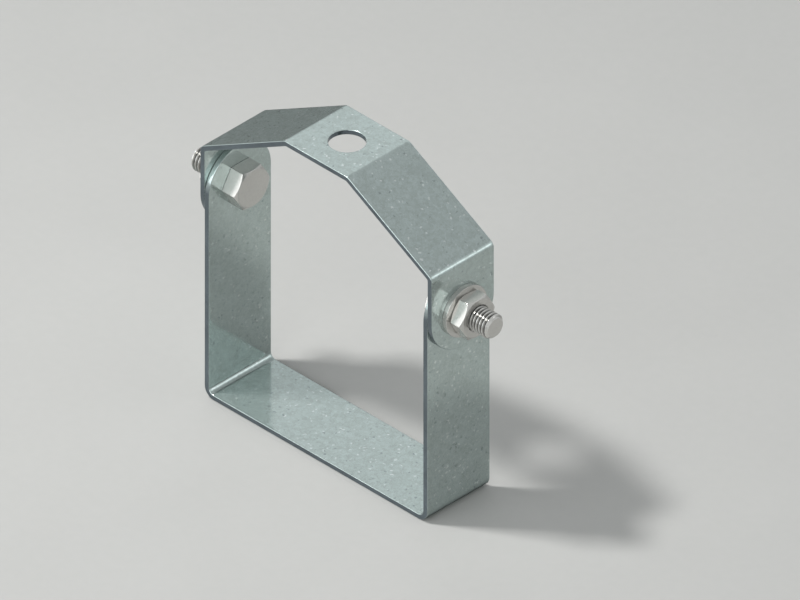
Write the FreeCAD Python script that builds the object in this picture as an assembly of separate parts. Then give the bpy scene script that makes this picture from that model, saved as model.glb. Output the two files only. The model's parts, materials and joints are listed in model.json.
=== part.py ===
import FreeCAD, Part

import math
import os

# A pipe hanger clamp of two folded steel strips. The square-bottomed lower strap carries
# the pipe, and the upper yoke joins the tops of its two legs. A hexagon bolt, a washer and
# a nut fasten each leg to the yoke's ear beside it, and the yoke swings on the two bolts.
#
# Millimetres. +Z is up, X runs from leg to leg, and Y is the width of the strip.
# The origin is the middle of the strap's underside.

# Strip stock, 14 gauge
strip_width = 32.0
strip_thickness = 2.1

# Lower strap, for a pipe of 108 mm
strap_inner_width = 109.5
strap_bend_inner_radius = 2.5
bolt_axis_height = 88.0

# Upper yoke
overall_height = 132.8
shoulder_height = 109.0
top_plate_length = 32.0
yoke_bend_inner_radius = 1.0
rod_hole_dia = 14.0

# Fasteners, M10
bolt_hole_dia = 11.0
thread_major_dia = 9.96
bolt_length = 21.0
bolt_end_chamfer = 1.15
across_flats = 16.0
head_height = 6.9
nut_height = 6.0
nut_bore_dia = 10.06
nut_mouth_dia = 10.9
hexagon_face_dia = 15.4
hexagon_chamfer_angle = 30.0
washer_outer_dia = 21.0
washer_inner_dia = 10.8
washer_thickness = 2.0

# Air left between faces that can turn against each other
plate_gap = 0.10
seat_gap = 0.05

# Positions worked out from the sizes above
half_width = strip_width / 2
strap_inner_x = strap_inner_width / 2
strap_outer_x = strap_inner_x + strip_thickness
ear_outer_x = strap_outer_x + plate_gap + strip_thickness
head_seat_x = strap_inner_x - seat_gap
nut_seat_x = ear_outer_x + washer_thickness + seat_gap

# How far each cutter runs past the metal that it cuts
drill_margin = 5.0
chamfer_margin = 0.05

Vector = FreeCAD.Vector
X_AXIS = Vector(1, 0, 0)
Y_AXIS = Vector(0, 1, 0)
Z_AXIS = Vector(0, 0, 1)
ORIGIN = Vector(0, 0, 0)


# Folded strips

def left_of(direction):
    """The direction a quarter turn to the left, in the XZ plane seen with X to the right."""
    return Vector(-direction.z, 0, direction.x)


def directions_along(corners):
    """The unit direction of each straight run between the corners."""
    runs = []
    for start, end in zip(corners, corners[1:]):
        runs.append((end - start).normalize())
    return runs


def offset_to_left(corners, distance):
    """The corners of the line that runs beside the given one, to its left."""
    runs = directions_along(corners)
    moved = [corners[0] + left_of(runs[0]) * distance]
    for corner, before, after in zip(corners[1:], runs, runs[1:]):
        normals = left_of(before) + left_of(after)
        moved.append(corner + normals * (distance / (1 + before.dot(after))))
    moved.append(corners[-1] + left_of(runs[-1]) * distance)
    return moved


def bent_line(corners, radius):
    """Straight runs joined by tangent arcs of the radius at every inner corner."""
    runs = directions_along(corners)
    edges = []
    start = corners[0]
    for corner, before, after in zip(corners[1:], runs, runs[1:]):
        half_turn = before.getAngle(after) / 2
        tangent = radius * math.tan(half_turn)
        inward = (after - before).normalize()
        arc_start = corner - before * tangent
        arc_middle = corner + inward * (radius / math.cos(half_turn) - radius)
        arc_end = corner + after * tangent
        edges.append(Part.LineSegment(start, arc_start).toShape())
        edges.append(Part.Arc(arc_start, arc_middle, arc_end).toShape())
        start = arc_end
    edges.append(Part.LineSegment(start, corners[-1]).toShape())
    return edges


def folded_strip(outer_corners, bend_inner_radius):
    """Strip folded along its outer corners, with the inside of every bend on the left."""
    inner_corners = offset_to_left(outer_corners, strip_thickness)
    edges = bent_line(outer_corners, bend_inner_radius + strip_thickness)
    edges += bent_line(inner_corners, bend_inner_radius)
    edges.append(Part.LineSegment(outer_corners[0], inner_corners[0]).toShape())
    edges.append(Part.LineSegment(outer_corners[-1], inner_corners[-1]).toShape())
    section = Part.Face(Part.Wire(Part.__sortEdges__(edges)))
    section.translate(Y_AXIS * -half_width)
    return section.extrude(Y_AXIS * strip_width)


def round_ended_blank(round_end_z, square_end_z):
    """The strip's outline seen along X, with a full round about the bolt axis at one end."""
    reach = ear_outer_x + drill_margin
    up = math.copysign(1, round_end_z - square_end_z)
    left_tangent = Vector(-reach, -half_width, bolt_axis_height)
    right_tangent = Vector(-reach, half_width, bolt_axis_height)
    tip = Vector(-reach, 0, bolt_axis_height + up * half_width)
    left_corner = Vector(-reach, -half_width, square_end_z)
    right_corner = Vector(-reach, half_width, square_end_z)
    edges = [
        Part.Arc(left_tangent, tip, right_tangent).toShape(),
        Part.LineSegment(right_tangent, right_corner).toShape(),
        Part.LineSegment(right_corner, left_corner).toShape(),
        Part.LineSegment(left_corner, left_tangent).toShape(),
    ]
    outline = Part.Face(Part.Wire(edges))
    return outline.extrude(X_AXIS * (2 * reach))


def drill(radius, start, direction, depth):
    """The cylinder that a drill removes."""
    return Part.makeCylinder(radius, depth, start, direction)


def bolt_holes():
    """One cylinder along the bolt axis that drills both legs or both ears."""
    reach = ear_outer_x + drill_margin
    start = Vector(-reach, 0, bolt_axis_height)
    return drill(bolt_hole_dia / 2, start, X_AXIS, 2 * reach)


def make_lower_strap():
    """Square-bottomed strap: one strip with two bends, round leg tops and two holes."""
    leg_top = bolt_axis_height + half_width
    corners = [
        Vector(-strap_outer_x, 0, leg_top),
        Vector(-strap_outer_x, 0, 0),
        Vector(strap_outer_x, 0, 0),
        Vector(strap_outer_x, 0, leg_top),
    ]
    strip = folded_strip(corners, strap_bend_inner_radius)
    blank = round_ended_blank(leg_top, -drill_margin)
    return strip.common(blank).cut(bolt_holes())


def make_upper_yoke():
    """Yoke: a flat top plate, two slopes and two ears from one strip with four bends."""
    ear_bottom = bolt_axis_height - half_width
    half_plate = top_plate_length / 2
    corners = [
        Vector(ear_outer_x, 0, ear_bottom),
        Vector(ear_outer_x, 0, shoulder_height),
        Vector(half_plate, 0, overall_height),
        Vector(-half_plate, 0, overall_height),
        Vector(-ear_outer_x, 0, shoulder_height),
        Vector(-ear_outer_x, 0, ear_bottom),
    ]
    strip = folded_strip(corners, yoke_bend_inner_radius)
    blank = round_ended_blank(ear_bottom, overall_height + drill_margin)
    rod_hole_start = Vector(0, 0, overall_height - strip_thickness - drill_margin)
    rod_hole_depth = strip_thickness + 2 * drill_margin
    rod_hole = drill(rod_hole_dia / 2, rod_hole_start, Z_AXIS, rod_hole_depth)
    return strip.common(blank).cut(bolt_holes()).cut(rod_hole)


# Fasteners, drawn along +X from their seat on the YZ plane

def turned_about_x(profile):
    """The solid turned about X from (x, radius) points that start and end on the axis."""
    points = [Vector(x, 0, radius) for x, radius in profile]
    points.append(points[0])
    section = Part.Face(Part.makePolygon(points))
    return section.revolve(ORIGIN, X_AXIS, 360)


def hexagon_prism(height):
    """Hexagon bar with two flats level, so that its corners point along Y."""
    corner_radius = across_flats / math.sqrt(3)
    points = []
    for step in range(7):
        angle = math.radians(60 * step)
        points.append(Vector(0, corner_radius * math.cos(angle), corner_radius * math.sin(angle)))
    return Part.Face(Part.makePolygon(points)).extrude(X_AXIS * height)


def chamfered_hexagon(height, chamfer_seat):
    """Hexagon whose corners are turned down to a round face, on one end or on both."""
    corner_radius = across_flats / math.sqrt(3) + chamfer_margin
    face_radius = hexagon_face_dia / 2
    depth = (corner_radius - face_radius) * math.tan(math.radians(hexagon_chamfer_angle))
    profile = [(0, 0)]
    if chamfer_seat:
        profile += [(0, face_radius), (depth, corner_radius)]
    else:
        profile += [(0, corner_radius)]
    profile += [(height - depth, corner_radius), (height, face_radius), (height, 0)]
    return hexagon_prism(height).common(turned_about_x(profile))


def make_bolt():
    """Fully threaded hexagon bolt. The seat under its head is at x = 0, the head behind it."""
    head = chamfered_hexagon(head_height, False)
    head.rotate(ORIGIN, Z_AXIS, 180)
    shank_radius = thread_major_dia / 2
    middle_of_head = -head_height / 2
    shank_profile = [
        (middle_of_head, 0),
        (middle_of_head, shank_radius),
        (bolt_length - bolt_end_chamfer, shank_radius),
        (bolt_length, shank_radius - bolt_end_chamfer),
        (bolt_length, 0),
    ]
    return head.fuse(turned_about_x(shank_profile)).removeSplitter()


def make_nut():
    """Hexagon nut chamfered on both faces, with a countersunk bore."""
    bore_radius = nut_bore_dia / 2
    mouth_radius = nut_mouth_dia / 2
    mouth_depth = mouth_radius - bore_radius
    bore_profile = [
        (0, 0),
        (0, mouth_radius),
        (mouth_depth, bore_radius),
        (nut_height - mouth_depth, bore_radius),
        (nut_height, mouth_radius),
        (nut_height, 0),
    ]
    return chamfered_hexagon(nut_height, True).cut(turned_about_x(bore_profile))


def make_washer():
    """Plain flat washer."""
    disc = Part.makeCylinder(washer_outer_dia / 2, washer_thickness, ORIGIN, X_AXIS)
    hole = Part.makeCylinder(washer_inner_dia / 2, washer_thickness, ORIGIN, X_AXIS)
    return disc.cut(hole)


def on_side(shape, seat_x, side):
    """The fastener on its bolt axis, on the right, or turned half round Z for the left."""
    placed = shape.copy()
    placed.translate(Vector(seat_x, 0, bolt_axis_height))
    if side == "left":
        placed.rotate(ORIGIN, Z_AXIS, 180)
    return placed


# Nodes

nodes = {
    "lower_strap": make_lower_strap(),
    "upper_yoke": make_upper_yoke(),
}
for side in ("left", "right"):
    nodes[side + "_bolt"] = on_side(make_bolt(), head_seat_x, side)
    nodes[side + "_washer"] = on_side(make_washer(), ear_outer_x, side)
    nodes[side + "_nut"] = on_side(make_nut(), nut_seat_x, side)

os.makedirs("parts", exist_ok=True)
for name, shape in nodes.items():
    solid = shape.Solids[0]
    solid.exportStep("parts/" + name + ".step")
    box = solid.BoundBox
    print(
        f"{name}: {len(shape.Solids)} solid, valid {solid.isValid()}, {solid.Volume:.0f} mm3, "
        f"x {box.XMin:.2f}..{box.XMax:.2f}, y {box.YMin:.2f}..{box.YMax:.2f}, "
        f"z {box.ZMin:.2f}..{box.ZMax:.2f}"
    )
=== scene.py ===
"""A pipe hanger clamp: two folded galvanised strips, and a zinc-plated bolt, washer and nut
on each side.

The strips are cut as flat blanks and folded, and the bolts and nuts get their real threads.
Metres. +Z is up, X runs from leg to leg, and Y is the width of the strip.
"""

import cmath
import json
import math

import bmesh
import bpy
from bpy.props import FloatProperty, FloatVectorProperty, PointerProperty
from mathutils import Matrix, Vector


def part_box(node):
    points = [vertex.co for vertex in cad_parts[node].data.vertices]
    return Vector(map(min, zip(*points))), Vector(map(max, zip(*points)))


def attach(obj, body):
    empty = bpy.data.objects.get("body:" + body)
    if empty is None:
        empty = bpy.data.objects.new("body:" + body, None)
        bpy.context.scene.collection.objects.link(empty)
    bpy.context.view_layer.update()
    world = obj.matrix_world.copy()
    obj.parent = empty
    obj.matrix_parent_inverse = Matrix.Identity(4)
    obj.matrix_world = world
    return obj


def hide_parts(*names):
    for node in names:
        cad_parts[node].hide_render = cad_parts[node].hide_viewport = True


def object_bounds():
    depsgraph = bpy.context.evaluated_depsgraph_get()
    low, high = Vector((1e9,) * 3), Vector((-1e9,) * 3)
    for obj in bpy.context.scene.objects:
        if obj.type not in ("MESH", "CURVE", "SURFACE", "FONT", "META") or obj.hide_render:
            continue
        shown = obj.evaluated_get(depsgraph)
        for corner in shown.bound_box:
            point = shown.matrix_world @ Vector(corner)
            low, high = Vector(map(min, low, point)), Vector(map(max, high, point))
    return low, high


bl_info = {
    "name": "Pipe Hanger Clamp",
    "version": (1, 0, 0),
    "blender": (4, 5, 0),
    "location": "3D View > Sidebar > Hanger",
    "description": "Builds a folded strip pipe hanger with threaded bolts and nuts",
    "category": "Object",
}

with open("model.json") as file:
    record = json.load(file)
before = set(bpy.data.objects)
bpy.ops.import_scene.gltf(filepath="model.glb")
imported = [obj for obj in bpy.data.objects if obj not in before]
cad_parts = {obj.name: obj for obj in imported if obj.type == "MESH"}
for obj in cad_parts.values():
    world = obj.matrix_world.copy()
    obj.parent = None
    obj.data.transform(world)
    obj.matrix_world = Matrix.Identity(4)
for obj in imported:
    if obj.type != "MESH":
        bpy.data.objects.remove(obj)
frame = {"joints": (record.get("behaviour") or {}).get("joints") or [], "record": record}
cad_low, cad_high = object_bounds()

mounts = {mount["name"]: mount for mount in frame["record"]["mounts"]}
joints = {joint["name"]: joint for joint in frame["joints"]}
strap_low, strap_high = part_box("lower_strap")
yoke_low, yoke_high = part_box("upper_yoke")
bolt_low, bolt_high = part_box("right_bolt")
nut_low, nut_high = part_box("right_nut")
washer_low, washer_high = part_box("right_washer")

bolt_axis_height = joints["yoke_swing"]["pos_m"][2]
head_seat_x = joints["right_bolt_turn"]["pos_m"][0]
half_width = strap_high.y

# The turn that takes a fastener from the right of the hanger to each side
SIDES = {"right": Matrix.Identity(4), "left": Matrix.Rotation(math.pi, 4, "Z")}


# Sizes and colours


class StripProperties(bpy.types.PropertyGroup):
    """The two folded strips"""

    thickness: FloatProperty(
        name="Thickness",
        description="Thickness of the strip",
        default=mounts["pipe_seat"]["pos_m"][2],
        unit="LENGTH",
    )
    strap_bend: FloatProperty(
        name="Strap Bend",
        description="Inner radius of the lower strap's two bends",
        default=0.0025,
        unit="LENGTH",
    )
    yoke_bend: FloatProperty(
        name="Yoke Bend",
        description="Inner radius of the upper yoke's four bends",
        default=0.0010,
        unit="LENGTH",
    )
    shoulder_height: FloatProperty(
        name="Shoulder Height",
        description="Height of the corner between each ear and its slope",
        default=0.109,
        unit="LENGTH",
    )
    plate_length: FloatProperty(
        name="Top Plate",
        description="Length of the yoke's top plate between its corners",
        default=0.032,
        unit="LENGTH",
    )
    bolt_hole: FloatProperty(
        name="Bolt Hole",
        description="Diameter of the holes in the legs and ears",
        default=0.011,
        unit="LENGTH",
    )
    rod_hole: FloatProperty(
        name="Rod Hole",
        description="Diameter of the hole in the top plate",
        default=2 * mounts["rod_hole"]["dims"]["r_mm"] / 1000,
        unit="LENGTH",
    )
    edge_rounding: FloatProperty(
        name="Edge Rounding",
        description="Radius that the zinc gives the cut edges",
        default=0.00025,
        unit="LENGTH",
    )


class FastenerProperties(bpy.types.PropertyGroup):
    """The bolts, washers and nuts"""

    across_flats: FloatProperty(
        name="Across Flats",
        description="Width of the heads and nuts across two flats",
        default=0.016,
        unit="LENGTH",
    )
    face_diameter: FloatProperty(
        name="Round Face",
        description="Diameter of the flat round face inside the hexagon's chamfer",
        default=0.0154,
        unit="LENGTH",
    )
    chamfer_angle: FloatProperty(
        name="Chamfer Angle",
        description="Slope of the hexagon's turned chamfer",
        default=math.radians(30),
        subtype="ANGLE",
    )
    edge_rounding: FloatProperty(
        name="Edge Rounding",
        description="How far the edges of heads and nuts are rounded",
        default=0.00015,
        unit="LENGTH",
    )
    corner_rounding: FloatProperty(
        name="Corner Rounding",
        description="Radius of the hexagon's six corners",
        default=0.0003,
        unit="LENGTH",
    )
    thread_diameter: FloatProperty(
        name="Thread Diameter",
        description="Diameter over the crests of the bolt's thread",
        default=0.00996,
        unit="LENGTH",
    )
    thread_pitch: FloatProperty(
        name="Thread Pitch",
        description="Distance from one crest to the next",
        default=0.0015,
        unit="LENGTH",
    )
    thread_clearance: FloatProperty(
        name="Thread Clearance",
        description="Air between the bolt's thread and the nut's",
        default=0.00005,
        unit="LENGTH",
    )
    thread_run_out: FloatProperty(
        name="Thread Run-Out",
        description="Length under the head over which the thread reaches its full depth",
        default=0.0025,
        unit="LENGTH",
    )
    tip_chamfer: FloatProperty(
        name="Tip Chamfer",
        description="Width of the chamfer on the bolt's end",
        default=0.00115,
        unit="LENGTH",
    )
    nut_mouth: FloatProperty(
        name="Nut Mouth",
        description="Diameter of the countersink on both faces of the nut",
        default=0.0109,
        unit="LENGTH",
    )
    washer_hole: FloatProperty(
        name="Washer Hole",
        description="Diameter of the washer's hole",
        default=0.0108,
        unit="LENGTH",
    )
    washer_rounding: FloatProperty(
        name="Washer Rounding",
        description="How far the edges of the washers are rounded",
        default=0.0003,
        unit="LENGTH",
    )


class FinishProperties(bpy.types.PropertyGroup):
    """The zinc on the strips and fasteners, and the floor's paint"""

    crystal_dark: FloatVectorProperty(
        name="Dark Crystals",
        description="Colour of the darker zinc crystals on the strips",
        default=(0.43, 0.492, 0.469),
        subtype="COLOR",
        min=0,
        max=1,
    )
    crystal_light: FloatVectorProperty(
        name="Light Crystals",
        description="Colour of the lighter zinc crystals on the strips",
        default=(0.525, 0.604, 0.585),
        subtype="COLOR",
        min=0,
        max=1,
    )
    crystal_size: FloatProperty(
        name="Crystal Size",
        description="Width of a large zinc crystal",
        default=0.0016,
        unit="LENGTH",
    )
    # The sheared edges' colour is darker than the faces' as painted shade
    cut_edge_painted_shade: FloatVectorProperty(
        name="Cut Edges",
        description="Colour of the strips' sheared edges",
        default=(0.115, 0.14, 0.155),
        subtype="COLOR",
        min=0,
        max=1,
    )
    plating: FloatVectorProperty(
        name="Plating",
        description="Colour of the zinc-plated fasteners",
        default=(0.56, 0.55, 0.52),
        subtype="COLOR",
        min=0,
        max=1,
    )
    floor: FloatVectorProperty(
        name="Floor",
        description="Colour of the studio floor",
        default=(0.415, 0.412, 0.396),
        subtype="COLOR",
        min=0,
        max=1,
    )


class StudioProperties(bpy.types.PropertyGroup):
    """The floor, the lamp, the room and the camera"""

    floor_size: FloatProperty(
        name="Floor Size",
        description="Width of the square floor",
        default=6.0,
        unit="LENGTH",
    )
    view_width: FloatProperty(
        name="View Width",
        description="Width of the parallel view",
        default=0.2888,
        unit="LENGTH",
    )
    view_centre: FloatVectorProperty(
        name="View Centre",
        description="Point in the middle of the picture",
        default=(0.0135, 0.0135, 0.0625),
        subtype="TRANSLATION",
    )
    key_direction: FloatVectorProperty(
        name="Key Direction",
        description="Where the key light stands, seen from the hanger",
        default=(-0.366, -0.295, 0.883),
        subtype="DIRECTION",
    )
    key_distance: FloatProperty(
        name="Key Distance",
        description="How far the key light stands from the middle of the hanger",
        default=1.3,
        unit="LENGTH",
    )
    key_power: FloatProperty(
        name="Key Power",
        description="Power of the key light",
        default=4.2,
        unit="POWER",
    )
    key_size: FloatProperty(
        name="Key Size",
        description="Width of the key light",
        default=0.15,
        unit="LENGTH",
    )
    key_spread: FloatProperty(
        name="Key Spread",
        description="Angle over which the key light's grid lets it fan out",
        default=math.radians(100),
        subtype="ANGLE",
    )
    horizon_light: FloatProperty(
        name="Horizon Light",
        description="Brightness of the room low down, above the floor",
        default=0.7,
    )
    wall_light: FloatProperty(
        name="Wall Light",
        description="Brightness of the room's walls higher up",
        default=0.78,
    )
    sky_light: FloatProperty(
        name="Sky Light",
        description="Brightness of the room overhead",
        default=0.38,
    )
    front_light: FloatProperty(
        name="Front Light",
        description="How much brighter the room is low down in front of the hanger",
        default=2.0,
    )
    back_light: FloatProperty(
        name="Back Light",
        description="How much brighter the room is in a small patch behind on the right",
        default=1.1,
    )
    room_colour: FloatVectorProperty(
        name="Room Colour",
        description="Colour of the room's light",
        default=(0.95, 0.98, 1.0),
        subtype="COLOR",
        min=0,
        max=1,
    )


# Node helpers


def add_node(tree, kind, inputs=None, **settings):
    """A shader node with its settings, each input linked to a socket or set to a value."""
    node = tree.nodes.new("ShaderNode" + kind)
    for name, value in settings.items():
        setattr(node, name, value)
    for key, value in (inputs or {}).items():
        if isinstance(value, bpy.types.NodeSocket):
            tree.links.new(value, node.inputs[key])
        else:
            node.inputs[key].default_value = value
    return node


def maths(tree, operation, *values):
    """The result of a Math node."""
    return add_node(tree, "Math", dict(enumerate(values)), operation=operation).outputs[0]


def mixed(tree, factor, first, second):
    """A colour between two others."""
    colours = {0: factor, 6: first, 7: second}
    return add_node(tree, "Mix", colours, data_type="RGBA").outputs[2]


def ranged(tree, value, low, high, to_low=0.0, to_high=1.0):
    """The value mapped from one range to another, and kept inside it."""
    inputs = {0: value, 1: low, 2: high, 3: to_low, 4: to_high}
    return add_node(tree, "MapRange", inputs).outputs[0]


def new_group(name, inputs, outputs):
    """An empty node group with its sockets, and its input and output nodes."""
    tree = bpy.data.node_groups.new(name, "ShaderNodeTree")
    for socket, kind, default in inputs:
        made = tree.interface.new_socket(socket, in_out="INPUT", socket_type="NodeSocket" + kind)
        if default is not None:
            made.default_value = default
    for socket, kind in outputs:
        tree.interface.new_socket(socket, in_out="OUTPUT", socket_type="NodeSocket" + kind)
    return tree, tree.nodes.new("NodeGroupInput").outputs, tree.nodes.new("NodeGroupOutput").inputs


def place_group(tree, name, **inputs):
    """A node group in a material, with its inputs named in lower case with underscores."""
    node = tree.nodes.new("ShaderNodeGroup")
    node.node_tree = bpy.data.node_groups[name]
    for key, value in inputs.items():
        socket = node.inputs[key.replace("_", " ").title()]
        if isinstance(value, bpy.types.NodeSocket):
            tree.links.new(value, socket)
        else:
            socket.default_value = value
    return node.outputs


def new_material(name):
    """A material with only a Principled shader, and its tree and shader."""
    material = bpy.data.materials.new(name)
    material.use_nodes = True
    tree = material.node_tree
    return material, tree, tree.nodes["Principled BSDF"]


def opaque(colour):
    """The colour with an alpha of one."""
    return (*colour, 1.0)


def shaded(colour, share):
    """The colour made darker or lighter, with an alpha of one."""
    return opaque(Vector(colour) * share)


# Effects that several materials use

BRIGHT_FLECK = (0.8, 0.85, 0.84, 1.0)
DULL_FLECK = (0.24, 0.28, 0.28, 1.0)


def make_spangle_group():
    """Zinc crystals: irregular cells in two sizes, a slow cloud, and bright and dull flecks."""
    tree, given, out = new_group(
        "Zinc spangle",
        [
            ("Vector", "Vector", None),
            ("Crystal Size", "Float", 0.0016),
            ("Dark", "Color", (0.3, 0.35, 0.35, 1.0)),
            ("Light", "Color", (0.5, 0.55, 0.55, 1.0)),
            ("Fleck Amount", "Float", 0.5),
            ("Smooth", "Float", 0.3),
            ("Rough", "Float", 0.5),
        ],
        [("Color", "Color"), ("Roughness", "Float"), ("Height", "Float")],
    )
    scale = maths(tree, "DIVIDE", 1.0, given["Crystal Size"])
    cells = add_node(
        tree, "VectorMath", {0: given["Vector"], 3: scale}, operation="SCALE"
    ).outputs[0]
    ripple = add_node(tree, "TexNoise", {"Vector": cells, "Scale": 1.1, "Detail": 3.0})
    swing = add_node(
        tree, "VectorMath", {0: ripple.outputs["Color"], 1: (0.5, 0.5, 0.5)}, operation="SUBTRACT"
    )
    warped = add_node(
        tree,
        "VectorMath",
        {0: swing.outputs[0], 1: (1.6, 1.6, 1.6), 2: cells},
        operation="MULTIPLY_ADD",
    ).outputs[0]
    large = add_node(tree, "TexVoronoi", {"Vector": warped, "Scale": 0.8}).outputs["Color"]
    small = add_node(tree, "TexVoronoi", {"Vector": warped, "Scale": 2.1}).outputs["Color"]
    cloud = add_node(tree, "TexNoise", {"Vector": cells, "Scale": 0.16, "Detail": 2.0}).outputs[0]
    large_tone = add_node(tree, "SeparateColor", {0: large}).outputs[0]
    small_tone = add_node(tree, "SeparateColor", {0: small}).outputs[1]
    tone = maths(tree, "MULTIPLY", large_tone, 0.3)
    tone = maths(tree, "MULTIPLY_ADD", small_tone, 0.45, tone)
    tone = maths(tree, "MULTIPLY_ADD", cloud, 0.25, tone)
    colour = mixed(tree, ranged(tree, tone, 0.15, 0.8), given["Dark"], given["Light"])

    seeds = add_node(tree, "TexVoronoi", {"Vector": warped, "Scale": 1.2})
    seed_values = add_node(tree, "SeparateColor", {0: seeds.outputs["Color"]}).outputs
    dot = ranged(tree, seeds.outputs["Distance"], 0.26, 0.4, 1.0, 0.0)
    bright = maths(tree, "MULTIPLY", dot, ranged(tree, seed_values[0], 0.86, 0.9))
    dull = maths(tree, "MULTIPLY", dot, ranged(tree, seed_values[1], 0.9, 0.94))
    bright = maths(tree, "MULTIPLY", bright, given["Fleck Amount"])
    dull = maths(tree, "MULTIPLY", dull, given["Fleck Amount"])
    colour = mixed(tree, bright, colour, BRIGHT_FLECK)
    colour = mixed(tree, dull, colour, DULL_FLECK)
    tree.links.new(colour, out["Color"])

    grains = add_node(tree, "TexVoronoi", {"Vector": warped, "Scale": 4.0}).outputs["Color"]
    grain_tone = add_node(tree, "SeparateColor", {0: grains}).outputs[2]
    roughness = ranged(tree, grain_tone, 0.35, 0.65, given["Smooth"], given["Rough"])
    tree.links.new(roughness, out["Roughness"])
    tree.links.new(maths(tree, "ADD", tone, bright), out["Height"])


def make_grain_group():
    """Fine uneven grain on a slow cloud, for plating, sheared metal and the floor."""
    tree, given, out = new_group(
        "Fine grain",
        [
            ("Vector", "Vector", None),
            ("Grain Size", "Float", 0.0005),
            ("Dark", "Color", (0.5, 0.5, 0.5, 1.0)),
            ("Light", "Color", (0.6, 0.6, 0.6, 1.0)),
            ("Smooth", "Float", 0.2),
            ("Rough", "Float", 0.4),
        ],
        [("Color", "Color"), ("Roughness", "Float"), ("Height", "Float")],
    )
    scale = maths(tree, "DIVIDE", 1.0, given["Grain Size"])
    grain = add_node(
        tree, "TexNoise", {"Vector": given["Vector"], "Scale": scale, "Detail": 4.0}
    ).outputs[0]
    cloud_scale = maths(tree, "MULTIPLY", scale, 0.07)
    cloud = add_node(
        tree, "TexNoise", {"Vector": given["Vector"], "Scale": cloud_scale, "Detail": 3.0}
    ).outputs[0]
    tone = ranged(tree, maths(tree, "ADD", grain, cloud), 0.7, 1.3)
    tree.links.new(mixed(tree, tone, given["Dark"], given["Light"]), out["Color"])
    roughness = ranged(tree, cloud, 0.35, 0.65, given["Smooth"], given["Rough"])
    tree.links.new(roughness, out["Roughness"])
    tree.links.new(grain, out["Height"])


def make_edge_highlight_group():
    """A mask for a painted highlight: white where an edge is within the radius, broken up by fine
    noise.
    """
    tree, given, out = new_group(
        "Edge highlight",
        [("Radius", "Float", 0.0003), ("Amount", "Float", 0.5)],
        [("Mask", "Float")],
    )
    rounded = add_node(tree, "Bevel", {"Radius": given["Radius"]}, samples=4).outputs[0]
    true_normal = add_node(tree, "NewGeometry").outputs["Normal"]
    facing = add_node(
        tree, "VectorMath", {0: rounded, 1: true_normal}, operation="DOT_PRODUCT"
    ).outputs["Value"]
    place = add_node(tree, "TexCoord").outputs["Object"]
    patches = add_node(
        tree, "TexNoise", {"Vector": place, "Scale": 900.0, "Detail": 3.0}
    ).outputs[0]
    edge = ranged(tree, facing, 0.995, 0.93)
    # Painted highlight along every edge, in patches
    painted_highlight = maths(tree, "MULTIPLY", edge, ranged(tree, patches, 0.3, 0.6, 0.7, 1.0))
    tree.links.new(maths(tree, "MULTIPLY", painted_highlight, given["Amount"]), out["Mask"])


# Materials

# Colours of the painted highlights along the edges, and of the painted shade in a thread's groove
EDGE_HIGHLIGHT_FACE = (0.7, 0.76, 0.76, 1.0)
EDGE_HIGHLIGHT_CUT = (0.6, 0.66, 0.66, 1.0)
EDGE_HIGHLIGHT_PLATING = (0.93, 0.95, 0.95, 1.0)
GROOVE_SHADE = (0.05, 0.05, 0.05, 1.0)


def blank_coordinates(tree):
    """Coordinates on the strip as it was before folding."""
    return add_node(tree, "Attribute", attribute_name="blank").outputs["Vector"]


def object_coordinates(tree):
    """Coordinates that move with the piece."""
    return add_node(tree, "TexCoord").outputs["Object"]


def add_bump(tree, shader, height, distance):
    """Fine relief on the shader's normal."""
    bump = add_node(tree, "Bump", {"Height": height, "Distance": distance, "Strength": 1.0})
    tree.links.new(bump.outputs[0], shader.inputs["Normal"])


def galvanised_face(finish):
    """The strips' faces: smooth zinc crystals and flecks, a little paler along the edges as a
    painted highlight.
    """
    material, tree, shader = new_material("galvanised_face")
    zinc = place_group(
        tree,
        "Zinc spangle",
        vector=blank_coordinates(tree),
        crystal_size=finish.crystal_size,
        dark=opaque(finish.crystal_dark),
        light=opaque(finish.crystal_light),
        fleck_amount=0.66,
        smooth=0.1,
        rough=0.2,
    )
    # Painted highlight: the faces turn paler along their rounded edges
    edge = place_group(tree, "Edge highlight", radius=0.0004, amount=0.3)
    colour = mixed(tree, edge["Mask"], zinc["Color"], EDGE_HIGHLIGHT_FACE)
    tree.links.new(colour, shader.inputs["Base Color"])
    tree.links.new(zinc["Roughness"], shader.inputs["Roughness"])
    add_bump(tree, shader, zinc["Height"], distance=0.000004)
    shader.inputs["Metallic"].default_value = 0.78
    # A black tint keeps the zinc from turning pale at a glancing angle
    shader.inputs["Specular Tint"].default_value = (0.0, 0.0, 0.0, 1.0)
    return material


def galvanised_edge_painted_light(finish):
    """The strips' sheared edges and hole walls: darker than a face as painted shade, and painted
    lighter where they look up.
    """
    material, tree, shader = new_material("galvanised_edge_painted_light")
    # Painted shade: the sheared edges' colour is darker than a face's
    metal = place_group(
        tree,
        "Fine grain",
        vector=object_coordinates(tree),
        grain_size=0.0006,
        dark=shaded(finish.cut_edge_painted_shade, 0.8),
        light=shaded(finish.cut_edge_painted_shade, 1.25),
        smooth=0.12,
        rough=0.25,
    )
    # Painted light: an edge takes the faces' light zinc colour where it looks up
    normal = add_node(tree, "TexCoord").outputs["Normal"]
    upward = add_node(tree, "SeparateXYZ", {"Vector": normal}).outputs["Z"]
    painted_top_light = ranged(tree, upward, 0.1, 0.5)
    colour = mixed(tree, painted_top_light, metal["Color"], opaque(finish.crystal_light))
    # Painted highlight along the rounded edges
    edge = place_group(tree, "Edge highlight", radius=0.0003, amount=0.3)
    colour = mixed(tree, edge["Mask"], colour, EDGE_HIGHLIGHT_CUT)
    tree.links.new(colour, shader.inputs["Base Color"])
    tree.links.new(metal["Roughness"], shader.inputs["Roughness"])
    add_bump(tree, shader, metal["Height"], distance=0.00002)
    shader.inputs["Metallic"].default_value = 0.8
    return material


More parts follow.
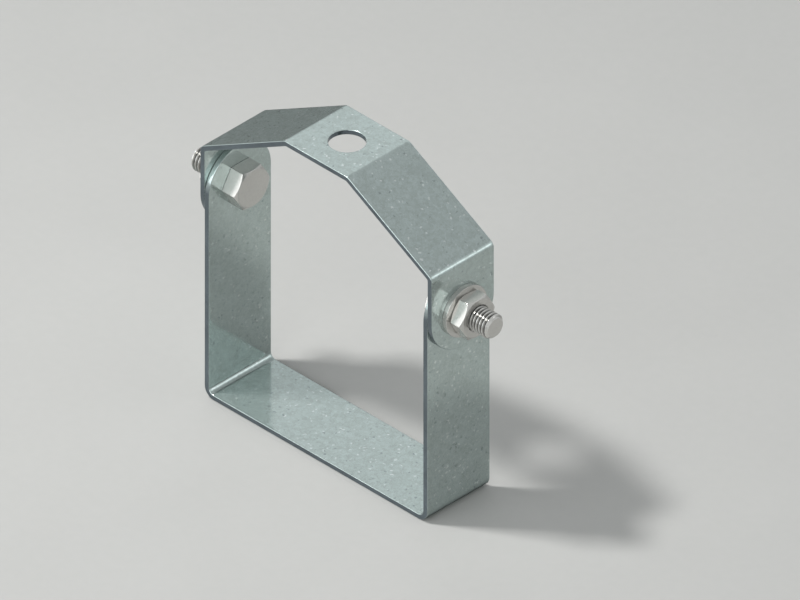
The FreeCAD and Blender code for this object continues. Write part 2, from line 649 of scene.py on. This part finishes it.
def zinc_plating(finish):
    """The fasteners' bright zinc: smooth, with a faint grain, a painted highlight along the edges
    and painted shade in the thread grooves.
    """
    material, tree, shader = new_material("zinc_plating")
    metal = place_group(
        tree,
        "Fine grain",
        vector=object_coordinates(tree),
        grain_size=0.0009,
        dark=shaded(finish.plating, 0.93),
        light=shaded(finish.plating, 1.05),
        smooth=0.16,
        rough=0.25,
    )
    # Painted highlight along the rounded edges
    edge = place_group(tree, "Edge highlight", radius=0.0002, amount=0.4)
    colour = mixed(tree, edge["Mask"], metal["Color"], EDGE_HIGHLIGHT_PLATING)
    # Painted shade in the thread's grooves, darkest at their roots
    groove = add_node(tree, "Attribute", attribute_name="groove").outputs["Fac"]
    colour = mixed(tree, groove, colour, GROOVE_SHADE)
    tree.links.new(colour, shader.inputs["Base Color"])
    tree.links.new(metal["Roughness"], shader.inputs["Roughness"])
    add_bump(tree, shader, metal["Height"], distance=0.000006)
    shader.inputs["Metallic"].default_value = 0.68
    return material


def pale_floor(finish):
    """The studio floor: matt, pale and almost even."""
    material, tree, shader = new_material("pale_floor")
    paint = place_group(
        tree,
        "Fine grain",
        vector=object_coordinates(tree),
        grain_size=0.004,
        dark=shaded(finish.floor, 0.985),
        light=shaded(finish.floor, 1.015),
        smooth=0.6,
        rough=0.7,
    )
    tree.links.new(paint["Color"], shader.inputs["Base Color"])
    tree.links.new(paint["Roughness"], shader.inputs["Roughness"])
    return material


def material_of(name, maker):
    """The material of that name, made on first use with the effects that it needs."""
    if "Zinc spangle" not in bpy.data.node_groups:
        make_spangle_group()
        make_grain_group()
        make_edge_highlight_group()
    return bpy.data.materials.get(name) or maker(bpy.context.scene.hanger_finish)


# Pieces

# Faces that meet at more than this angle share a sharp edge, and points that are nearer to
# each other than this distance are made one
SHARP_ANGLE = math.radians(40)
WELD_DISTANCE = 1e-7


def add_piece(name, bm, materials, body, node):
    """Turns the mesh into a smooth-shaded piece that rides on its body in the node's place."""
    bmesh.ops.recalc_face_normals(bm, faces=bm.faces)
    open_edges = [edge for edge in bm.edges if not edge.is_manifold]
    if open_edges:
        raise RuntimeError(f"{name} has {len(open_edges)} open edges")
    mesh = bpy.data.meshes.new(name)
    bm.to_mesh(mesh)
    bm.free()
    for polygon in mesh.polygons:
        polygon.use_smooth = True
    mesh.set_sharp_from_angle(angle=SHARP_ANGLE)
    for material in materials:
        mesh.materials.append(material)
    piece = bpy.data.objects.new(name, mesh)
    bpy.context.scene.collection.objects.link(piece)
    weighted = piece.modifiers.new("Flat faces", "WEIGHTED_NORMAL")
    weighted.keep_sharp = True
    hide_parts(node)
    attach(piece, body)


# Folded strips. A corner of the fold is a complex number, X + iZ.


def unfolded(corners, inner_radius, thickness):
    """The flat and bent stretches of the strip's middle layer, as (length, turn)."""
    runs = [end - start for start, end in zip(corners, corners[1:])]
    turns = [cmath.phase(after / before) for before, after in zip(runs, runs[1:])]
    cuts = [(inner_radius + thickness) * math.tan(turn / 2) for turn in turns]
    stretches = []
    for run, turn, before, after in zip(runs, turns + [0], [0] + cuts, cuts + [0]):
        stretches.append((abs(run) - before - after, 0))
        if turn:
            stretches.append(((inner_radius + thickness / 2) * turn, turn))
    return stretches


def folded(stretches, start, heading, along, out):
    """Where a point of the blank lies after folding, out being its height over the middle."""
    place, facing = start, heading
    for length, turn in stretches:
        step = min(along, length)
        if turn:
            swing = cmath.rect(1, turn * step / length)
            centre = place + 1j * facing * length / turn
            place = centre + (place - centre) * swing
            facing *= swing
        else:
            place += facing * step
        along -= step
    return place - 1j * facing * out


def circle_ring(count, radius):
    """Points round a circle, from +Y towards -X."""
    ring = []
    for step in range(count):
        angle = math.pi / 2 + 2 * math.pi * step / count
        ring.append(Vector((radius * math.cos(angle), radius * math.sin(angle), 0)))
    return ring


def rectangle_ring(count, half_length, half_breadth):
    """Points evenly along each side of a rectangle, from the middle of +Y towards -X."""
    corners = [
        (0, half_breadth),
        (-half_length, half_breadth),
        (-half_length, -half_breadth),
        (half_length, -half_breadth),
        (half_length, half_breadth),
        (0, half_breadth),
    ]
    shares = [count // 8, count // 4, count // 4, count // 4, count // 8]
    ring = []
    for start, end, share in zip(corners, corners[1:], shares):
        for step in range(share):
            ring.append(Vector((*start, 0)).lerp(Vector((*end, 0)), step / share))
    return ring


def round_end_ring(count):
    """The strip's full-round end, and the square that joins it to the rest."""
    square = rectangle_ring(count, half_width, half_width)
    return circle_ring(count, half_width)[: count // 2] + square[count // 2 :]


# How finely a blank is divided: points round a hole, columns across the strip, rings from a
# hole to the outline round it, and the length or the turn from one row to the next
RING_POINTS = 96
COLUMNS = RING_POINTS // 4
RINGS_ROUND_HOLE = 6
ROW_SPACING = 0.004
ROW_TURN = math.radians(6)

# Edges of the thick blank that are sharper than this angle are rounded
RIM_ANGLE = math.radians(60)

# A face of the thick blank gets the finish of the strip's faces if its normal stands at least
# this upright, and otherwise that of its cut edges, whose darker colour is painted shade
FACE_UPRIGHTNESS = 0.8


def add_ring_patch(bm, centre, direction, inner, outer):
    """Quads between a hole and the outline round it, at a place along the blank."""
    rings = []
    for step in range(RINGS_ROUND_HOLE + 1):
        share = step / RINGS_ROUND_HOLE
        ring = []
        for near, far in zip(inner, outer):
            point = near.lerp(far, share)
            ring.append(bm.verts.new((centre + direction * point.x, point.y, 0)))
        rings.append(ring)
    for near, far in zip(rings, rings[1:]):
        for index in range(len(near)):
            bm.faces.new((near[index - 1], near[index], far[index], far[index - 1]))


def add_band(bm, rows):
    """Quads across the full width of the blank, between rows along it."""
    lines = []
    for along in rows:
        line = []
        for column in range(COLUMNS + 1):
            y = half_width * (2 * column / COLUMNS - 1)
            line.append(bm.verts.new((along, y, 0)))
        lines.append(line)
    for line, after in zip(lines, lines[1:]):
        for index in range(COLUMNS):
            bm.faces.new((line[index], line[index + 1], after[index + 1], after[index]))


def rows_between(stretches, low, high):
    """Where the blank needs rows between two places: at every change, and through each bend."""
    rows = []
    start = 0
    for length, turn in stretches:
        steps = math.ceil(turn / ROW_TURN) if turn else math.ceil(length / ROW_SPACING)
        for step in range(steps):
            rows.append(start + length * step / steps)
        start += length
    near = ROW_SPACING / 100
    return [low] + [row for row in rows if low + near < row < high - near] + [high]


def blank_with_holes(stretches, bolt_hole, plate_hole=None):
    """The flat blank's outline and holes as one sheet of quads, along X from its first end."""
    total = sum(length for length, turn in stretches)
    bm = bmesh.new()
    outline = round_end_ring(RING_POINTS)
    for centre, direction in ((half_width, 1), (total - half_width, -1)):
        add_ring_patch(bm, centre, direction, circle_ring(RING_POINTS, bolt_hole / 2), outline)
    low, high = 2 * half_width, total - 2 * half_width
    if plate_hole:
        half_plate = stretches[len(stretches) // 2][0] / 2
        hole = circle_ring(RING_POINTS, plate_hole / 2)
        square = rectangle_ring(RING_POINTS, half_plate, half_width)
        add_ring_patch(bm, total / 2, 1, hole, square)
        add_band(bm, rows_between(stretches, low, total / 2 - half_plate))
        add_band(bm, rows_between(stretches, total / 2 + half_plate, high))
    else:
        add_band(bm, rows_between(stretches, low, high))
    bmesh.ops.remove_doubles(bm, verts=bm.verts, dist=WELD_DISTANCE)
    return bm


def thicken(bm, thickness, rounding):
    """Gives the sheet its thickness and rounds every edge of its outline and holes."""
    bmesh.ops.translate(bm, verts=bm.verts, vec=(0, 0, -thickness / 2))
    made = bmesh.ops.extrude_face_region(bm, geom=bm.faces[:])["geom"]
    top = [item for item in made if isinstance(item, bmesh.types.BMVert)]
    bmesh.ops.translate(bm, verts=top, vec=(0, 0, thickness))
    bmesh.ops.recalc_face_normals(bm, faces=bm.faces)
    rims = [edge for edge in bm.edges if edge.calc_face_angle(0) > RIM_ANGLE]
    bmesh.ops.bevel(
        bm, geom=rims, offset=rounding, segments=3, profile=0.5, affect="EDGES", clamp_overlap=True
    )


def fold(bm, stretches, start, heading):
    """Folds the thick blank, with each point's flat place and its edges marked for the finish."""
    flat = bm.verts.layers.float_vector.new("blank")
    for face in bm.faces:
        face.material_index = 0 if abs(face.normal.z) > FACE_UPRIGHTNESS else 1
    for vert in bm.verts:
        along, y, out = vert.co
        vert[flat] = vert.co
        place = folded(stretches, start, heading, along, out)
        vert.co = (place.real, y, place.imag)


def make_strip(name, node, body, corners, bend_radius, plate_hole=None):
    """One strip, folded along its outer corners with the inside of every bend on the left."""
    sizes = bpy.context.scene.hanger_strips
    finish = [
        material_of("galvanised_face", galvanised_face),
        material_of("galvanised_edge_painted_light", galvanised_edge_painted_light),
    ]
    stretches = unfolded(corners, bend_radius, sizes.thickness)
    bm = blank_with_holes(stretches, sizes.bolt_hole, plate_hole)
    thicken(bm, sizes.thickness, sizes.edge_rounding)
    heading = corners[1] - corners[0]
    heading /= abs(heading)
    start = corners[0] + 1j * heading * sizes.thickness / 2
    fold(bm, stretches, start, heading)
    add_piece(name, bm, finish, body, node)


class HANGER_OT_lower_strap(bpy.types.Operator):
    """Build the square-bottomed lower strap"""

    bl_idname = "hanger.lower_strap"
    bl_label = "Lower Strap"

    def execute(self, context):
        sizes = context.scene.hanger_strips
        corners = [
            complex(strap_low.x, strap_high.z),
            complex(strap_low.x, strap_low.z),
            complex(strap_high.x, strap_low.z),
            complex(strap_high.x, strap_high.z),
        ]
        make_strip("lower_strap_strip", "lower_strap", "strap", corners, sizes.strap_bend)
        return {"FINISHED"}


class HANGER_OT_upper_yoke(bpy.types.Operator):
    """Build the folded upper yoke with its rod hole"""

    bl_idname = "hanger.upper_yoke"
    bl_label = "Upper Yoke"

    def execute(self, context):
        sizes = context.scene.hanger_strips
        half_plate = sizes.plate_length / 2
        right = [
            complex(yoke_high.x, yoke_low.z),
            complex(yoke_high.x, sizes.shoulder_height),
            complex(half_plate, yoke_high.z),
        ]
        left = [-corner.conjugate() for corner in reversed(right)]
        corners = right + left
        make_strip(
            "upper_yoke_strip", "upper_yoke", "yoke", corners, sizes.yoke_bend, sizes.rod_hole
        )
        return {"FINISHED"}


# Fasteners, drawn along +X from the seat of the bolt's head

# The turn from one column of points to the next along a hexagon's flat
COLUMN_TURN = math.radians(6)

# The most of a side that the rounding at one of its ends takes
ROUNDING_SHARE = 0.45

# The lean of the thread's flanks, and how deep the nut's thread is as a share of the bolt's
THREAD_HALF_ANGLE = math.radians(30)
NUT_THREAD_DEPTH = 0.9

# Rows of points along one pitch of the thread, and along half a crest, a flank and half a root
THREAD_ROWS = 16
CREST_ROWS = 1
FLANK_ROWS = 4
ROOT_ROWS = 3


def hexagon_columns(sizes):
    """The angle from +Y and the hexagon's radius at each column, with rounded corners."""
    half_flats = sizes.across_flats / 2
    rounding = sizes.corner_rounding
    sixth = math.pi / 3
    centre = (half_flats - rounding) / math.cos(sixth / 2)
    reach = sixth / 2 - math.atan((half_flats - rounding) * math.tan(sixth / 2) / half_flats)
    turns = [-reach, -reach / 2, 0, reach / 2, reach]
    turns += [COLUMN_TURN * step for step in range(1, round(sixth / COLUMN_TURN))]
    columns = []
    for corner in range(6):
        for turn in turns:
            if abs(turn) < reach:
                inside = rounding**2 - (centre * math.sin(turn)) ** 2
                radius = centre * math.cos(turn) + math.sqrt(inside)
            else:
                radius = half_flats / math.cos(sixth / 2 - abs(turn))
            columns.append((corner * sixth + turn, radius))
    return columns


def rounded_section(corners, rounding):
    """The (x, radius) corners, each inner one rounded by three points, and less if it is tight."""
    points = [Vector(corner) for corner in corners]
    section = [points[0]]
    for before, corner, after in zip(points, points[1:], points[2:]):
        shortest = min((corner - before).length, (after - corner).length)
        reach = min(rounding, ROUNDING_SHARE * shortest)
        start = corner + (before - corner).normalized() * reach
        end = corner + (after - corner).normalized() * reach
        section += [start, (start + 2 * corner + end) / 4, end]
    return section + [points[-1]]


def new_fastener_mesh():
    """An empty mesh whose points say how deep they lie in a thread."""
    bm = bmesh.new()
    bm.verts.layers.float.new("groove")
    return bm


def add_turned(bm, section, angle):
    """Points for a section of (x, radius) or (x, radius, groove), at an angle from +Y about X."""
    depth = bm.verts.layers.float["groove"]
    column = []
    for x, radius, *groove in section:
        vert = bm.verts.new((x, radius * math.cos(angle), radius * math.sin(angle)))
        vert[depth] = groove[0] if groove else 0
        column.append(vert)
    return column


def add_skin(bm, made, seam_shift=0):
    """Quads between neighbouring columns; the last meets the first so many rows further on."""
    for index, column in enumerate(made):
        last = index + 1 == len(made)
        after = made[0] if last else made[index + 1]
        shift = seam_shift if last else 0
        for row in range(len(column) - 1 - shift):
            bm.faces.new(
                (column[row], after[row + shift], after[row + shift + 1], column[row + 1])
            )


def thread_cut(row, pitch):
    """How deep a row of the thread lies under its crest: straight flanks, a rounded root."""
    half = THREAD_ROWS // 2
    distance = abs((row - CREST_ROWS + half) % THREAD_ROWS - half)
    slope = pitch / THREAD_ROWS / math.tan(THREAD_HALF_ANGLE)
    flank = min(max(distance - CREST_ROWS, 0), FLANK_ROWS)
    into_root = max(distance - CREST_ROWS - FLANK_ROWS, 0)
    return slope * (flank + into_root - into_root**2 / (2 * ROOT_ROWS))


def thread_section(angle, low, high, pitch, at_cut):
    """One column of a right-hand thread between two places along X."""
    first = THREAD_ROWS * (math.floor(low / pitch) - 1)
    last = THREAD_ROWS * (math.ceil(high / pitch) + 1)
    section = []
    for row in range(first, last + 1):
        x = pitch * (row / THREAD_ROWS + angle / (2 * math.pi))
        x = min(max(x, low), high)
        section.append((x, *at_cut(x, thread_cut(row, pitch))))
    return section


def add_thread(bm, columns, low, high, pitch, at_cut):
    """The helical surface of a thread; one turn moves it on by one pitch."""
    made = []
    first_angle = columns[0][0]
    for angle, _ in columns:
        section = thread_section(angle - first_angle, low, high, pitch, at_cut)
        made.append(add_turned(bm, section, angle))
    add_skin(bm, made, THREAD_ROWS)


def chamfer_depth(hexagon_radius, sizes):
    """How far along X the turned chamfer reaches at a column of the hexagon."""
    return (hexagon_radius - sizes.face_diameter / 2) * math.tan(sizes.chamfer_angle)


def place_fastener(kind, side, bm, body):
    """Closes the mesh and puts it on its side of the hanger, in place of its node."""
    bmesh.ops.remove_doubles(bm, verts=bm.verts, dist=WELD_DISTANCE)
    seat = Matrix.Translation((head_seat_x, 0, bolt_axis_height))
    bmesh.ops.transform(bm, matrix=SIDES[side] @ seat, verts=bm.verts)
    node = side + "_" + kind
    plating = material_of("zinc_plating", zinc_plating)
    add_piece(node + "_turned", bm, [plating], body, node)


class HANGER_OT_bolts(bpy.types.Operator):
    """Build both hexagon bolts with their threads"""

    bl_idname = "hanger.bolts"
    bl_label = "Bolts"

    def execute(self, context):
        sizes = context.scene.hanger_fasteners
        for side in SIDES:
            bm = new_fastener_mesh()
            self.add_bolt(bm, sizes)
            place_fastener("bolt", side, bm, side + "_bolt")
        return {"FINISHED"}

    def add_bolt(self, bm, sizes):
        """A chamfered head on a shank that is threaded up to it."""
        columns = hexagon_columns(sizes)
        head_top = bolt_low.x - head_seat_x
        tip = bolt_high.x - head_seat_x
        crest = sizes.thread_diameter / 2
        tip_radius = crest - sizes.tip_chamfer
        heads = []
        for angle, radius in columns:
            corners = [
                (head_top, 0),
                (head_top, sizes.face_diameter / 2),
                (head_top + chamfer_depth(radius, sizes), radius),
                (0, radius),
                (0, crest),
            ]
            heads.append(add_turned(bm, rounded_section(corners, sizes.edge_rounding), angle))
        add_skin(bm, heads)
        deepest = thread_cut(THREAD_ROWS // 2, sizes.thread_pitch)

        def at_cut(x, cut):
            """The thread's radius at a place along the shank, and how deep in a groove it is."""
            full = min(x / sizes.thread_run_out, 1)
            outside = min(crest, tip_radius + tip - x)
            radius = min(crest - cut * full, outside)
            return radius, (outside - radius) / deepest

        add_thread(bm, columns, 0, tip, sizes.thread_pitch, at_cut)
        end_face = [(tip, tip_radius), (tip, 0)]
        add_skin(bm, [add_turned(bm, end_face, angle) for angle, _ in columns])


class HANGER_OT_nuts(bpy.types.Operator):
    """Build both hexagon nuts, threaded to match their bolts"""

    bl_idname = "hanger.nuts"
    bl_label = "Nuts"

    def execute(self, context):
        sizes = context.scene.hanger_fasteners
        for side in SIDES:
            bm = new_fastener_mesh()
            self.add_nut(bm, sizes)
            place_fastener("nut", side, bm, side + "_nut")
        return {"FINISHED"}

    def add_nut(self, bm, sizes):
        """A hexagon chamfered on both faces round a countersunk, threaded bore."""
        columns = hexagon_columns(sizes)
        low = nut_low.x - head_seat_x
        high = nut_high.x - head_seat_x
        mouth = sizes.nut_mouth / 2
        root = sizes.thread_diameter / 2 + sizes.thread_clearance
        deepest = thread_cut(THREAD_ROWS // 2, sizes.thread_pitch)
        outsides = []
        for angle, radius in columns:
            depth = chamfer_depth(radius, sizes)
            corners = [
                (low, mouth),
                (low, sizes.face_diameter / 2),
                (low + depth, radius),
                (high - depth, radius),
                (high, sizes.face_diameter / 2),
                (high, mouth),
            ]
            outsides.append(add_turned(bm, rounded_section(corners, sizes.edge_rounding), angle))
        add_skin(bm, outsides)

        def at_cut(x, cut):
            """The thread's radius at a place along the bore, and how deep in a groove it is."""
            countersink = mouth - min(x - low, high - x)
            radius = max(root - min(cut, NUT_THREAD_DEPTH * deepest), countersink)
            return radius, 1 - (root - radius) / deepest if radius > countersink else 0

        add_thread(bm, columns, low, high, sizes.thread_pitch, at_cut)


class HANGER_OT_washers(bpy.types.Operator):
    """Build both flat washers"""

    bl_idname = "hanger.washers"
    bl_label = "Washers"

    def execute(self, context):
        sizes = context.scene.hanger_fasteners
        for side in SIDES:
            bm = new_fastener_mesh()
            self.add_washer(bm, sizes)
            place_fastener("washer", side, bm, "yoke")
        return {"FINISHED"}

    def add_washer(self, bm, sizes):
        """A flat ring with its four edges rounded alike."""
        low = washer_low.x - head_seat_x
        high = washer_high.x - head_seat_x
        inner = sizes.washer_hole / 2
        outer = washer_high.y
        middle = (inner + outer) / 2
        corners = [
            (low, middle),
            (low, outer),
            (high, outer),
            (high, inner),
            (low, inner),
            (low, middle),
        ]
        section = rounded_section(corners, sizes.washer_rounding)
        turns = [2 * math.pi * step / RING_POINTS for step in range(RING_POINTS)]
        add_skin(bm, [add_turned(bm, section, angle) for angle in turns])


# Studio

FLOOR_GAP = 0.0001

# Heights on a sphere of radius one round the hanger: the room's low part turns into its walls
# between the first two, and the walls turn into the ceiling between the last two
WALL_BEGINS = 0.36
WALL_FULL = 0.5
CEILING_BEGINS = 0.6
CEILING_FULL = 0.75

# The room's two brighter patches: the direction of the middle, and the cosine of the angle
# from it where the patch begins and where it is full
FRONT_PATCH = ((0.0, -0.98, 0.2), 0.7, 0.85)
BACK_PATCH = ((0.728, 0.577, 0.371), 0.98, 0.995)


def add_floor(studio):
    """A square floor just under the hanger."""
    half = studio.floor_size / 2
    mesh = bpy.data.meshes.new("floor")
    corners = [(-half, -half, 0), (half, -half, 0), (half, half, 0), (-half, half, 0)]
    mesh.from_pydata(corners, [], [(0, 1, 2, 3)])
    mesh.materials.append(material_of("pale_floor", pale_floor))
    floor = bpy.data.objects.new("floor", mesh)
    floor.location.z = cad_low.z - FLOOR_GAP
    bpy.context.scene.collection.objects.link(floor)


def add_key_lamp(studio):
    """A square lamp that shines on the middle of the hanger."""
    light = bpy.data.lights.new("key", "AREA")
    light.size = studio.key_size
    light.energy = studio.key_power
    light.spread = studio.key_spread
    lamp = bpy.data.objects.new("key", light)
    towards = Vector(studio.key_direction).normalized()
    middle = (cad_low + cad_high) / 2
    lamp.location = middle + towards * studio.key_distance
    lamp.rotation_euler = towards.to_track_quat("Z", "Y").to_euler()
    lamp.visible_camera = False
    bpy.context.scene.collection.objects.link(lamp)


def set_surroundings(studio):
    """A plain pale room, darkest overhead, with a wide bright patch in front and a small one
    behind."""
    world = bpy.data.worlds.new("studio")
    world.use_nodes = True
    tree = world.node_tree
    background = tree.nodes["Background"]
    direction = add_node(tree, "TexCoord").outputs["Generated"]
    height = add_node(tree, "SeparateXYZ", {0: direction}).outputs["Z"]
    upper = ranged(
        tree, height, CEILING_BEGINS, CEILING_FULL, studio.wall_light, studio.sky_light
    )
    room = ranged(tree, height, WALL_BEGINS, WALL_FULL, studio.horizon_light, upper)
    patches = ((FRONT_PATCH, studio.front_light), (BACK_PATCH, studio.back_light))
    for (middle, begins, full), glow in patches:
        cosine = add_node(
            tree, "VectorMath", {0: direction, 1: middle}, operation="DOT_PRODUCT"
        ).outputs["Value"]
        room = maths(tree, "ADD", room, ranged(tree, cosine, begins, full, 0.0, glow))
    tree.links.new(room, background.inputs["Strength"])
    background.inputs["Color"].default_value = opaque(studio.room_colour)
    bpy.context.scene.world = world


def add_camera(studio):
    """A parallel view from the front right, from above: the same angle to X, Y and Z."""
    camera = bpy.data.cameras.new("camera")
    camera.type = "ORTHO"
    camera.ortho_scale = studio.view_width
    camera.clip_end = 10
    holder = bpy.data.objects.new("camera", camera)
    back = Vector((1, -1, 1)).normalized()
    holder.location = Vector(studio.view_centre) + back
    holder.rotation_euler = back.to_track_quat("Z", "Y").to_euler()
    bpy.context.scene.collection.objects.link(holder)
    bpy.context.scene.camera = holder


class HANGER_OT_studio(bpy.types.Operator):
    """Build the floor, the lamp, the room and the camera"""

    bl_idname = "hanger.studio"
    bl_label = "Studio"

    def execute(self, context):
        studio = context.scene.hanger_studio
        add_floor(studio)
        add_key_lamp(studio)
        set_surroundings(studio)
        add_camera(studio)
        context.scene.view_settings.view_transform = "Standard"
        return {"FINISHED"}


class HANGER_PT_sidebar(bpy.types.Panel):
    """The hanger's pieces and their sizes"""

    bl_label = "Pipe Hanger"
    bl_idname = "HANGER_PT_sidebar"
    bl_space_type = "VIEW_3D"
    bl_region_type = "UI"
    bl_category = "Hanger"

    def draw(self, context):
        for operator in OPERATORS:
            self.layout.operator(operator.bl_idname)
        for group in GROUPS:
            values = getattr(context.scene, group)
            box = self.layout.box()
            box.label(text=GROUPS[group].__doc__)
            for name in GROUPS[group].__annotations__:
                box.prop(values, name)


OPERATORS = (
    HANGER_OT_lower_strap,
    HANGER_OT_upper_yoke,
    HANGER_OT_bolts,
    HANGER_OT_washers,
    HANGER_OT_nuts,
    HANGER_OT_studio,
)
GROUPS = {
    "hanger_strips": StripProperties,
    "hanger_fasteners": FastenerProperties,
    "hanger_finish": FinishProperties,
    "hanger_studio": StudioProperties,
}
CLASSES = (*GROUPS.values(), *OPERATORS, HANGER_PT_sidebar)


def register():
    """Adds the classes, and the sizes and colours to every scene."""
    for cls in CLASSES:
        bpy.utils.register_class(cls)
    for name, group in GROUPS.items():
        setattr(bpy.types.Scene, name, PointerProperty(type=group))


def unregister():
    """Takes away what register added."""
    for name in GROUPS:
        delattr(bpy.types.Scene, name)
    for cls in reversed(CLASSES):
        bpy.utils.unregister_class(cls)


def main():
    """Builds every piece and the studio."""
    register()
    bpy.ops.hanger.lower_strap()
    bpy.ops.hanger.upper_yoke()
    bpy.ops.hanger.bolts()
    bpy.ops.hanger.washers()
    bpy.ops.hanger.nuts()
    bpy.ops.hanger.studio()


if __name__ == "__main__":
    main()
